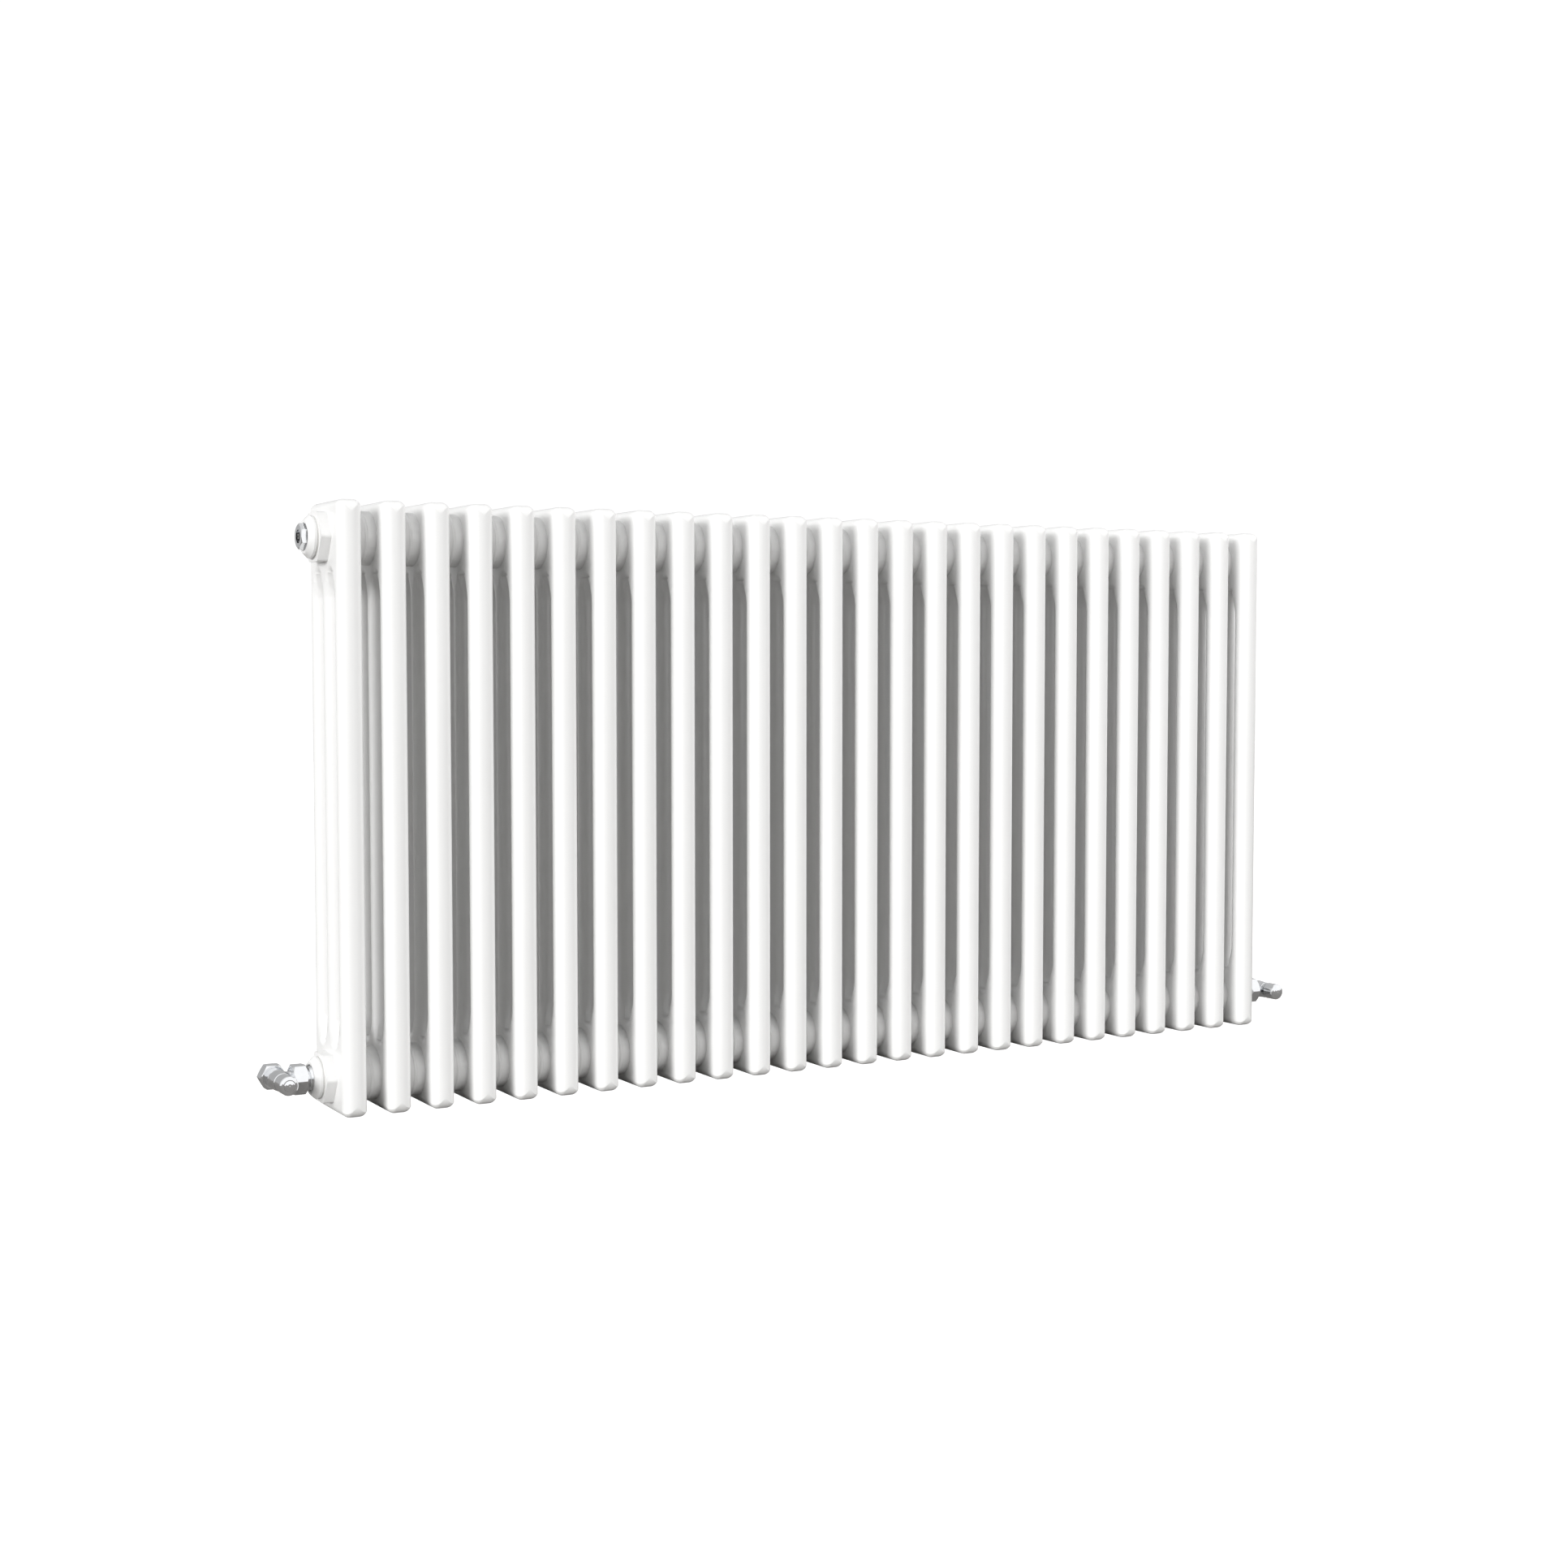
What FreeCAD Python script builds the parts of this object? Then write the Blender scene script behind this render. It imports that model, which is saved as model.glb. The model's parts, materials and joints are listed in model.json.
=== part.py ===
"""Three-column steel radiator with a chromed angle valve at each lower corner.

Twenty-six welded sections stand side by side.  Each section is three upright tubes between a
pressed top header and a pressed bottom header, and the round hubs of neighbouring headers meet
face to face.  The outer hubs are hexagonal bosses with a reducing bush in each.  The upper left
bush holds an air vent, the upper right one a blank plug and the lower two the valve tails.

Frame, in millimetres: X runs along the radiator, +Y points to the wall and +Z is up.  The origin
is under the middle of the radiator, at the height of the bottom headers' lowest line.

The sections are drawn about the radiator's centre.  Fittings at the four corners are drawn in
corner coordinates: x is the distance from the middle, y is forward of the hub axis and z is above
it.  Everything is raised by half the radiator's height as it is saved.
"""
import FreeCAD
import Part

import math
import os

Vector = FreeCAD.Vector

# Radiator block
SECTION_COUNT = 26
SECTION_PITCH = 45.0
HEIGHT = 600.0
COLUMN_COUNT = 3
COLUMN_SPACING = 37.5
TUBE_RADIUS = 12.5
TUBE_WALL = 1.25
SHEET = 1.5                 # thickness of the pressed headers
HUB_SPACING = 530.0         # between the upper and the lower hub axis
HUB_RADIUS = 26.5
HEADER_DEPTH = 70.0         # from the crown down to the arches between the tubes
EDGE_ROUND = 8.0
CORNER_ROUND = 12.0         # crown corners, seen from the end
NOSE_ROUND = 12.4           # front and rear edges, seen from above

BLOCK_DEPTH = (COLUMN_COUNT - 1) * COLUMN_SPACING + 2 * TUBE_RADIUS
HUB_Z = HUB_SPACING / 2
CROWN_Z = HEIGHT / 2
ARCH_RADIUS = COLUMN_SPACING / 2 - TUBE_RADIUS
ARCH_Z = CROWN_Z - HEADER_DEPTH
SOCKET_Z = ARCH_Z - ARCH_RADIUS - 2     # where the tubes meet the headers
END_FACE = (SECTION_COUNT - 1) * SECTION_PITCH / 2 + TUBE_RADIUS

# End fittings, by distance from the radiator's middle
THREAD_PLAY = 0.05          # radial play between plain cylinders that stand for threads
BOSS_FLATS = 48.0
BOSS_LENGTH = 10.5
BOSS_CORNER = 4.0
BUSH_THREAD = 16.6          # G1 outside radius
PLUG_THREAD = 10.45         # G1/2 outside radius
GASKET = 1.2
BOSS_FACE = END_FACE + BOSS_LENGTH
BUSH_BACK = BOSS_FACE + GASKET
BUSH_FLANGE = 21.0
BUSH_SHOULDER = BUSH_BACK + 3.0
BUSH_NOSE = BOSS_FACE + 9.0
BUSH_NOSE_RADIUS = 16.6
BUSH_RECESS = 13.6
PLUG_SEAT = BOSS_FACE + 7.0
PLUG_FLATS = 22.5
PLUG_HEAD = 7.5
PLUG_THREAD_LENGTH = 15.0
SEAL_RING = 0.8             # half the thickness of an O-ring
SEAL_RADIUS = PLUG_THREAD + SEAL_RING + THREAD_PLAY
SEAL_POCKET = SEAL_RADIUS + SEAL_RING + 0.1
VENT_RECESS = 6.6
VENT_RECESS_DEPTH = 4.6
BLEED_RADIUS = 3.0
BLEED_LENGTH = 16.6         # from the vent's face to the screw's tip
BLEED_COLLAR = 4.4
BLEED_COLLAR_BACK = 4.3     # depths below the vent's face
BLEED_COLLAR_FRONT = 3.1
AIR_PASSAGE = 1.5
AIR_OUTLET = 0.9
DISH_DEPTH = 0.9
DISH_RADIUS = 8.0

# Angle valves
VALVE_X = 624.5             # axis of the pipe and spindle
BARREL_RADIUS = 9.9
BARREL_BACK = -19.0
BARREL_FRONT = 12.0
NECK_RADIUS = 8.8
STUB_RADIUS = 11.8
UNION_FLATS = 28.0
UNION_START = 599.5
UNION_END = 613.5
TAIL_FLANGE = 12.2
TAIL_FLANGE_FACE = PLUG_SEAT + 4.0
TAIL_COLLAR_START = 602.8
TAIL_COLLAR_END = 607.0
TAIL_COLLAR = 10.6
TAIL_TUBE = 8.2
TAIL_BORE = 6.0
INLET_THREAD = 9.6
INLET_END = -28.0
PIPE_BORE = 7.6             # socket for a 15 mm pipe
PIPE_STOP = -13.0
INLET_CHAMFER = 1.3
NUT_FLATS = 23.5
NUT_START = -20.0
NUT_END = -34.5
SEAT_Y = -8.0
SEAT_BORE = 5.2
CHAMBER_RADIUS = 8.0
WASHER = 2.5
DISC = 2.0
DISC_RADIUS = 6.6
PLUG_STEM_FLATS = 9.0
PLUG_STEM_END = 9.0
SPINDLE_THREAD = 2.95
SPINDLE_TIP = 2.2
COLLAR_START = 14.2
COLLAR_END = 16.1
COLLAR_RADIUS = 4.55
STEM_RADIUS = 3.0
STEM_END = 26.0
SQUARE = 5.0
SQUARE_END = 30.5
BONNET_START = 4.0
BONNET_FLANGE_END = 16.0
BONNET_FLANGE = 9.0
BONNET_NECK = 6.6
BONNET_END = 23.0
SEAL_GROOVE = (19.0, 21.0)
KNOB_START = 16.6
KNOB_FRONT = 33.0
KNOB_RADIUS = 9.5
KNOB_CAVITY = 7.3
KNOB_RECESS = 5.6
KNOB_SQUARE_PLAY = 0.05
CAP_CAVITY = 6.9
CAP_DOME = 1.1              # how far the cap and the cover bulge
KNOB_SCREW = 1.5            # M3 shank
KNOB_SCREW_DEPTH = 8.0
KNOB_SCREW_HEAD = 4.2
SLOT_WIDTH = 0.8
RUNNING_PLAY = 0.1
GUIDE_PLAY = 0.4            # across the flats of the plug's stem

AXIS_X = Vector(1, 0, 0)
AXIS_Y = Vector(0, 1, 0)
AXIS_Z = Vector(0, 0, 1)


def rod(radius, start, end, axis):
    """A cylinder on the X, Y or Z axis through the origin, from start to end along it."""
    return Part.makeCylinder(radius, end - start, axis * start, axis)


def ring(outer, inner, start, end, axis):
    """A plain tube on one of the axes."""
    return rod(outer, start, end, axis).cut(rod(inner, start, end, axis))


def hexagon(flats, start, end, axis, chamfer=0.0):
    """A hexagonal bar on the X or Y axis with flats above and below, its corners turned off."""
    corner = flats / math.sqrt(3)
    across = AXIS_Y if axis == AXIS_X else AXIS_X
    points = []
    for k in range(7):
        angle = math.radians(60 * k)
        points.append(axis * start + across * corner * math.cos(angle) + AXIS_Z * corner * math.sin(angle))
    bar = Part.Face(Part.makePolygon(points)).extrude(axis * (end - start))
    if chamfer:
        drop = corner - flats / 2
        outline = [(start, 0), (start, flats / 2 - 0.3), (start + chamfer, flats / 2 + drop),
                   (end - chamfer, flats / 2 + drop), (end, flats / 2 - 0.3), (end, 0)]
        bar = bar.common(turned(outline, axis))
    return bar


def turned(outline, axis):
    """A turned solid from (position along the axis, radius) points."""
    across = AXIS_Y if axis == AXIS_X else AXIS_X
    points = [axis * a + across * r for a, r in outline]
    face = Part.Face(Part.makePolygon(points + points[:1]))
    return face.revolve(Vector(0, 0, 0), axis, 360)


def o_ring(x):
    """The seal behind a plug head or a tail flange."""
    return Part.makeTorus(SEAL_RADIUS, SEAL_RING, Vector(x, 0, 0), AXIS_X)


def fused(shapes):
    """One solid from several that touch or overlap."""
    return shapes[0].multiFuse(shapes[1:]).removeSplitter()


def at_corner(shape, side, level):
    """Puts a fitting from corner coordinates to side -1 or 1, level -1 or 1.

    Both places are half turns, so no part is mirrored: a fitting is the same above its axis as
    below it.
    """
    placed = shape.copy()
    placed.rotate(Vector(0, 0, 0), AXIS_Z if side < 0 else AXIS_X, 180)
    placed.translate(Vector(0, 0, level * HUB_Z))
    return placed


# ---------------------------------------------------------------- sections

def plate():
    """The header's outside without its hub: the outline given its width, with its edges rounded.

    The front and rear ends are rounded once more, seen from above, to meet the round tubes.
    """
    face = header_outline()
    face.translate(Vector(-TUBE_RADIUS, 0, 0))
    body = face.extrude(AXIS_X * (2 * TUBE_RADIUS))
    rims = []
    for edge in body.Edges:
        box = edge.BoundBox
        flat = box.XLength < 1e-6
        above_ends = box.ZMax > SOCKET_Z + 1e-3
        if flat and above_ends:
            rims.append(edge)
    body = body.makeFillet(EDGE_ROUND, rims)
    return body.common(round_nosed(0))


def round_nosed(inset):
    """A tall block as wide and deep as a section, with its front and rear ends round from above."""
    half_width = TUBE_RADIUS - inset
    half_depth = BLOCK_DEPTH / 2 - inset
    block = Part.makeBox(2 * half_width, 2 * half_depth, HEIGHT, Vector(-half_width, -half_depth, 0))
    upright = [edge for edge in block.Edges if edge.BoundBox.ZLength > HEIGHT / 2]
    return block.makeFillet(NOSE_ROUND - inset, upright)


def header_outline():
    """The top header from the side: a crown with round corners, and arches between the tubes."""
    def point(y, z):
        return Vector(0, y, z)

    half = BLOCK_DEPTH / 2
    r = CORNER_ROUND
    turn = r * (1 - math.sqrt(0.5))
    arch_centre = ARCH_Z - ARCH_RADIUS
    edges = [
        Part.LineSegment(point(-half, SOCKET_Z), point(-half, CROWN_Z - r)),
        Part.Arc(point(-half, CROWN_Z - r), point(-half + turn, CROWN_Z - turn), point(-half + r, CROWN_Z)),
        Part.LineSegment(point(-half + r, CROWN_Z), point(half - r, CROWN_Z)),
        Part.Arc(point(half - r, CROWN_Z), point(half - turn, CROWN_Z - turn), point(half, CROWN_Z - r)),
        Part.LineSegment(point(half, CROWN_Z - r), point(half, SOCKET_Z)),
    ]
    right = half
    for k in range(COLUMN_COUNT - 1, 0, -1):
        middle = (k - COLUMN_COUNT / 2) * COLUMN_SPACING
        leg = middle + ARCH_RADIUS
        far = middle - ARCH_RADIUS
        edges += [
            Part.LineSegment(point(right, SOCKET_Z), point(leg, SOCKET_Z)),
            Part.LineSegment(point(leg, SOCKET_Z), point(leg, arch_centre)),
            Part.Arc(point(leg, arch_centre), point(middle, ARCH_Z), point(far, arch_centre)),
            Part.LineSegment(point(far, arch_centre), point(far, SOCKET_Z)),
        ]
        right = far
    edges.append(Part.LineSegment(point(right, SOCKET_Z), point(-half, SOCKET_Z)))
    return Part.Face(Part.Wire([edge.toShape() for edge in edges]))


def header_cavity():
    """The water space inside a top header, with the bores of its three tubes.

    Its rounds are the outside's less the sheet's thickness, so that the wall is even all round.
    """
    half_width = TUBE_RADIUS - SHEET
    half_depth = BLOCK_DEPTH / 2 - SHEET
    floor = ARCH_Z + SHEET
    space = Part.makeBox(2 * half_width, 2 * half_depth, HEADER_DEPTH - 2 * SHEET,
                         Vector(-half_width, -half_depth, floor))
    corners = [edge for edge in space.Edges if edge.BoundBox.XLength > half_width]
    space = space.makeFillet(CORNER_ROUND - SHEET, corners)
    rims = [edge for edge in space.Edges if edge.BoundBox.XLength < 1e-6]
    space = space.makeFillet(EDGE_ROUND - SHEET, rims)
    space = space.common(round_nosed(SHEET))
    bores = []
    for y in column_offsets():
        bore = rod(TUBE_RADIUS - TUBE_WALL, SOCKET_Z - 1, floor + EDGE_ROUND, AXIS_Z)
        bore.translate(Vector(0, y, 0))
        bores.append(bore)
    return fused([space] + bores)


def column_offsets():
    """The tubes' places, forward and back from the middle one."""
    return [(k - (COLUMN_COUNT - 1) / 2) * COLUMN_SPACING for k in range(COLUMN_COUNT)]


def header(left_end, right_end):
    """A hollow top header at the radiator's middle.  An end header has a boss in place of a hub."""
    half = SECTION_PITCH / 2
    hub_start = -TUBE_RADIUS if left_end else -half
    hub_end = TUBE_RADIUS if right_end else half
    outer = [plate()]
    hub = rod(HUB_RADIUS, hub_start, hub_end, AXIS_X)
    hub.translate(Vector(0, 0, HUB_Z))
    outer.append(hub)
    bore_start = hub_start - 1
    bore_end = hub_end + 1
    if left_end:
        bore_start = 0
    if right_end:
        bore_end = 0
    hub_bore = rod(HUB_RADIUS - SHEET, bore_start, bore_end, AXIS_X)
    hub_bore.translate(Vector(0, 0, HUB_Z))
    cuts = [header_cavity(), hub_bore]
    if left_end or right_end:
        way = -1 if left_end else 1
        ends = sorted([way * (TUBE_RADIUS - SHEET), way * (TUBE_RADIUS + BOSS_LENGTH)])
        boss = hexagon(BOSS_FLATS, ends[0], ends[1], AXIS_X)
        corners = [edge for edge in boss.Edges if edge.BoundBox.XLength > BOSS_LENGTH]
        boss = boss.makeFillet(BOSS_CORNER, corners)
        boss.translate(Vector(0, 0, HUB_Z))
        outer.append(boss)
        thread = rod(BUSH_THREAD + THREAD_PLAY, ends[0] - 1, ends[1] + 1, AXIS_X)
        thread.translate(Vector(0, 0, HUB_Z))
        cuts.append(thread)
    body = fused(outer)
    for cut in cuts:
        body = body.cut(cut)
    return body


def section(number):
    """Section 1 is the left end one.  Returns its headers and tubes as separate solids."""
    left_end = number == 1
    right_end = number == SECTION_COUNT
    top = header(left_end, right_end)
    bottom = top.copy()
    bottom.rotate(Vector(0, 0, 0), AXIS_X, 180)
    pieces = [top, bottom]
    for y in column_offsets():
        tube = ring(TUBE_RADIUS, TUBE_RADIUS - TUBE_WALL, -SOCKET_Z, SOCKET_Z, AXIS_Z)
        tube.translate(Vector(0, y, 0))
        pieces.append(tube)
    x = (number - (SECTION_COUNT + 1) / 2) * SECTION_PITCH
    for piece in pieces:
        piece.translate(Vector(x, 0, 0))
    return pieces


# ---------------------------------------------------------------- bushes, vent and plug

def bush():
    """Reducing bush: a G1 thread, a round conical collar and a G1/2 bore with a seal pocket."""
    start = END_FACE - 4
    bore = PLUG_THREAD + THREAD_PLAY
    pocket = PLUG_SEAT - 2 * SEAL_RING - 0.3
    outline = [(start, bore), (start, BUSH_THREAD), (BUSH_BACK, BUSH_THREAD), (BUSH_BACK, BUSH_FLANGE - 0.8),
               (BUSH_BACK + 0.8, BUSH_FLANGE), (BUSH_SHOULDER, BUSH_FLANGE),
               (BUSH_NOSE - 0.8, BUSH_NOSE_RADIUS + 0.6),
               (BUSH_NOSE, BUSH_NOSE_RADIUS - 0.4), (BUSH_NOSE, BUSH_RECESS), (PLUG_SEAT, BUSH_RECESS),
               (PLUG_SEAT, SEAL_POCKET), (pocket, SEAL_POCKET), (pocket, bore)]
    return turned(outline, AXIS_X)


def bush_gasket():
    """Flat ring between the boss and the bush's collar."""
    return ring(BUSH_FLANGE - 0.6, BUSH_THREAD + 0.2, BOSS_FACE, BUSH_BACK, AXIS_X)


def plug_blank():
    """A G1/2 plug with a hexagonal head that sits in the bush's recess."""
    thread_start = PLUG_SEAT - PLUG_THREAD_LENGTH
    shank = turned([(thread_start, 0), (thread_start, PLUG_THREAD - 1), (thread_start + 1, PLUG_THREAD),
                    (PLUG_SEAT, PLUG_THREAD), (PLUG_SEAT, 0)], AXIS_X)
    head = hexagon(PLUG_FLATS, PLUG_SEAT, PLUG_SEAT + PLUG_HEAD, AXIS_X, 1.1)
    head.rotate(Vector(0, 0, 0), AXIS_X, 30)
    return fused([shank, head])


def blank_plug():
    """The upper right plug, with a shallow dish in its face."""
    face = PLUG_SEAT + PLUG_HEAD
    bottom = face - DISH_DEPTH
    dish = turned([(face + 1, 0), (face + 1, DISH_RADIUS), (face, DISH_RADIUS), (bottom, DISH_RADIUS - 1),
                   (bottom, 0)], AXIS_X)
    return plug_blank().cut(dish)


def vent_plug():
    """The air vent's body: a recess round the bleed screw, its threaded bore, and the outlet."""
    face = PLUG_SEAT + PLUG_HEAD
    recess = rod(VENT_RECESS, face - VENT_RECESS_DEPTH, face + 1, AXIS_X)
    bore = rod(BLEED_RADIUS + RUNNING_PLAY, face - BLEED_LENGTH - 0.4, face, AXIS_X)
    passage = rod(AIR_PASSAGE, PLUG_SEAT - PLUG_THREAD_LENGTH - 1, face, AXIS_X)
    outlet = rod(AIR_OUTLET, 0, PLUG_FLATS, AXIS_Z)
    outlet.translate(Vector(face - VENT_RECESS_DEPTH + 2, 0, -PLUG_FLATS))
    return plug_blank().cut(recess).cut(bore).cut(passage).cut(outlet)


def bleed_screw():
    """Brass screw with a cone tip, a collar and a slotted 5 mm square for the key."""
    face = PLUG_SEAT + PLUG_HEAD
    tip = face - BLEED_LENGTH
    back = face - BLEED_COLLAR_BACK
    front = face - BLEED_COLLAR_FRONT
    shank = turned([(tip, 0), (tip + 2, AIR_PASSAGE + 0.1), (tip + 2.2, BLEED_RADIUS), (back, BLEED_RADIUS),
                    (back, BLEED_COLLAR), (front, BLEED_COLLAR), (front, 0)], AXIS_X)
    end = face - 0.3
    half = SQUARE / 2
    square = Part.makeBox(end - front + 0.2, SQUARE, SQUARE, Vector(front - 0.2, -half, -half))
    slot = Part.makeBox(2.0, SQUARE + 1, SLOT_WIDTH, Vector(end - 1.2, -half - 0.5, -SLOT_WIDTH / 2))
    return fused([shank, square]).cut(slot)


# ---------------------------------------------------------------- valves

def moved_to_valve(shape):
    """A valve piece drawn about the pipe axis goes to its distance from the radiator's middle."""
    shape.translate(Vector(VALVE_X, 0, 0))
    return shape


def valve_body():
    """Cast body: a barrel along Y, a necked outlet stub for the union nut and an inlet for the pipe."""
    barrel = turned([(INLET_END, 0), (INLET_END, INLET_THREAD), (BARREL_BACK, INLET_THREAD),
                     (BARREL_BACK, BARREL_RADIUS), (BARREL_FRONT - 1, BARREL_RADIUS),
                     (BARREL_FRONT, BARREL_RADIUS - 1), (BARREL_FRONT, 0)], AXIS_Y)
    stub_start = TAIL_COLLAR_END + 0.1 - VALVE_X
    stub_end = UNION_END + 0.4 - VALVE_X
    outlet = turned([(stub_start, 0), (stub_start, STUB_RADIUS), (stub_end, STUB_RADIUS),
                     (stub_end + 1.5, NECK_RADIUS), (0, NECK_RADIUS), (0, 0)], AXIS_X)
    body = fused([barrel, outlet])
    cuts = [
        rod(PIPE_BORE, INLET_END - 1, PIPE_STOP, AXIS_Y),
        turned([(INLET_END - 0.1, 0), (INLET_END - 0.1, PIPE_BORE + INLET_CHAMFER),
                (INLET_END + INLET_CHAMFER, PIPE_BORE), (INLET_END + INLET_CHAMFER, 0)], AXIS_Y),
        rod(SEAT_BORE, PIPE_STOP - 1, SEAT_Y + 1, AXIS_Y),
        rod(CHAMBER_RADIUS, SEAT_Y, BARREL_FRONT + 1, AXIS_Y),
        rod(TAIL_BORE, stub_start - 1, 0, AXIS_X),
    ]
    for cut in cuts:
        body = body.cut(cut)
    return moved_to_valve(body)


def valve_tail():
    """Tail that screws into the bush, with the collar that the union nut pulls on."""
    start = PLUG_SEAT - PLUG_THREAD_LENGTH
    outline = [(start, TAIL_BORE), (start, PLUG_THREAD - 1), (start + 1, PLUG_THREAD),
               (PLUG_SEAT, PLUG_THREAD), (PLUG_SEAT, TAIL_FLANGE), (PLUG_SEAT + 1.6, TAIL_FLANGE),
               (TAIL_FLANGE_FACE, TAIL_FLANGE - 1.6), (TAIL_FLANGE_FACE, TAIL_TUBE),
               (TAIL_COLLAR_START, TAIL_TUBE), (TAIL_COLLAR_START, TAIL_COLLAR),
               (TAIL_COLLAR_END, TAIL_COLLAR), (TAIL_COLLAR_END, TAIL_BORE)]
    return turned(outline, AXIS_X)


def union_nut():
    """Hexagonal nut that draws the tail's collar to the body."""
    nut = hexagon(UNION_FLATS, UNION_START, UNION_END, AXIS_X, 1.8)
    nut = nut.cut(rod(TAIL_TUBE + 0.3, UNION_START - 1, UNION_END, AXIS_X))
    return nut.cut(rod(STUB_RADIUS + THREAD_PLAY, TAIL_COLLAR_START - 0.1, UNION_END + 1, AXIS_X))


def compression_nut():
    """Hexagonal nut over the inlet, coned inside to squeeze the olive."""
    nut = hexagon(NUT_FLATS, NUT_END, NUT_START, AXIS_Y, 1.4)
    space = turned([(NUT_END - 1, 0), (NUT_END - 1, PIPE_BORE + 0.2), (NUT_END + 1.6, PIPE_BORE + 0.2),
                    (INLET_END - 1.4, INLET_THREAD + THREAD_PLAY), (NUT_START + 1, INLET_THREAD + THREAD_PLAY),
                    (NUT_START + 1, 0)], AXIS_Y)
    return moved_to_valve(nut.cut(space))


def olive():
    """Soft brass ring between the nut's cone and the inlet's chamfer."""
    middle = INLET_END - 1.6
    outline = [(middle - 2.6, PIPE_BORE), (middle - 2.6, PIPE_BORE + 0.4), (middle - 0.4, PIPE_BORE + 1.5),
               (middle + 0.8, PIPE_BORE + 1.5), (middle + 2.2, PIPE_BORE + 0.4), (middle + 2.2, PIPE_BORE)]
    return moved_to_valve(turned(outline, AXIS_Y))


def bonnet():
    """Headwork screwed into the barrel: it guides the hexagonal plug stem and holds the spindle."""
    outline = [(BONNET_START, 0), (BONNET_START, CHAMBER_RADIUS - THREAD_PLAY),
               (BARREL_FRONT, CHAMBER_RADIUS - THREAD_PLAY), (BARREL_FRONT, BONNET_FLANGE),
               (BONNET_FLANGE_END, BONNET_FLANGE), (BONNET_FLANGE_END, BONNET_NECK),
               (BONNET_END, BONNET_NECK), (BONNET_END, 0)]
    body = turned(outline, AXIS_Y)
    guide = hexagon(PLUG_STEM_FLATS + GUIDE_PLAY, BONNET_START - 1, COLLAR_START - 0.2, AXIS_Y)
    collar_space = rod(COLLAR_RADIUS + RUNNING_PLAY, COLLAR_START - 1, COLLAR_END + RUNNING_PLAY, AXIS_Y)
    stem_bore = rod(STEM_RADIUS + RUNNING_PLAY, COLLAR_END - 1, BONNET_END + 1, AXIS_Y)
    groove = rod(STEM_RADIUS + 1.9, SEAL_GROOVE[0], SEAL_GROOVE[1], AXIS_Y)
    return moved_to_valve(body.cut(guide).cut(collar_space).cut(stem_bore).cut(groove))


def spindle_seal():
    """O-ring round the spindle, in the bonnet's groove."""
    middle = sum(SEAL_GROOVE) / 2
    return moved_to_valve(Part.makeTorus(STEM_RADIUS + 1.0, 0.85, Vector(0, middle, 0), AXIS_Y))


def spindle():
    """Spindle: a thread in the plug, a collar that stops it rising, and a square outer end."""
    outline = [(SPINDLE_TIP, 0), (SPINDLE_TIP, SPINDLE_THREAD - 0.5), (SPINDLE_TIP + 0.5, SPINDLE_THREAD),
               (COLLAR_START, SPINDLE_THREAD), (COLLAR_START, COLLAR_RADIUS), (COLLAR_END, COLLAR_RADIUS),
               (COLLAR_END, STEM_RADIUS), (STEM_END, STEM_RADIUS), (STEM_END, 0)]
    half = SQUARE / 2
    square = Part.makeBox(SQUARE, SQUARE_END - STEM_END + 1, SQUARE, Vector(-half, STEM_END - 1, -half))
    square = square.common(rod(STEM_RADIUS, STEM_END - 1, SQUARE_END, AXIS_Y))
    tapped = rod(KNOB_SCREW + THREAD_PLAY, SQUARE_END - KNOB_SCREW_DEPTH - 1, SQUARE_END + 1, AXIS_Y)
    return moved_to_valve(fused([turned(outline, AXIS_Y), square]).cut(tapped))


def valve_plug():
    """The closing piece: a disc on a hexagonal stem with the thread that the spindle drives."""
    back = SEAT_Y + WASHER
    disc = rod(DISC_RADIUS, back, back + DISC, AXIS_Y)
    stem = hexagon(PLUG_STEM_FLATS, back + DISC, PLUG_STEM_END, AXIS_Y)
    thread = rod(SPINDLE_THREAD + RUNNING_PLAY, SPINDLE_TIP - 5.0, PLUG_STEM_END + 1, AXIS_Y)
    return moved_to_valve(fused([disc, stem]).cut(thread))


def plug_washer():
    """Rubber washer that meets the seat."""
    back = SEAT_Y + WASHER
    return moved_to_valve(rod(DISC_RADIUS - 0.3, SEAT_Y, back, AXIS_Y))


def knob_outline():
    """Half section of the outside of the handwheel and of the lockshield cap, which look alike."""
    r = KNOB_RADIUS
    front = KNOB_FRONT
    return [(KNOB_START, r - 0.5), (KNOB_START + 0.5, r), (front - 2.2, r), (front - 1.1, r - 0.5),
            (front - 0.4, r - 1.6), (front, r - 3.2)]


def handwheel():
    """Round knob on the spindle's square, open at the front for its screw."""
    ledge = SQUARE_END + 0.2
    web = STEM_END + 0.2
    bore = KNOB_SCREW + 0.6
    outline = [(KNOB_START, KNOB_CAVITY)] + knob_outline()
    outline += [(KNOB_FRONT, KNOB_RECESS), (ledge, KNOB_RECESS), (ledge, bore), (web, bore), (web, KNOB_CAVITY)]
    half = SQUARE / 2 + KNOB_SQUARE_PLAY
    hole = Part.makeBox(2 * half, SQUARE_END - STEM_END + 1, 2 * half, Vector(-half, STEM_END, -half))
    return moved_to_valve(turned(outline, AXIS_Y).cut(hole))


def handwheel_screw():
    """Slotted pan-head screw that holds the knob on the spindle's end."""
    seat = SQUARE_END + 0.2
    end = SQUARE_END - KNOB_SCREW_DEPTH
    head = KNOB_SCREW_HEAD
    screw = turned([(end, 0), (end, KNOB_SCREW), (seat, KNOB_SCREW), (seat, head), (seat + 0.7, head),
                    (seat + 1.2, head - 0.6), (seat + 1.2, 0)], AXIS_Y)
    slot = Part.makeBox(SLOT_WIDTH, 2.0, 3 * head, Vector(-SLOT_WIDTH / 2, seat + 0.6, -1.5 * head))
    return moved_to_valve(screw.cut(slot))


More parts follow.
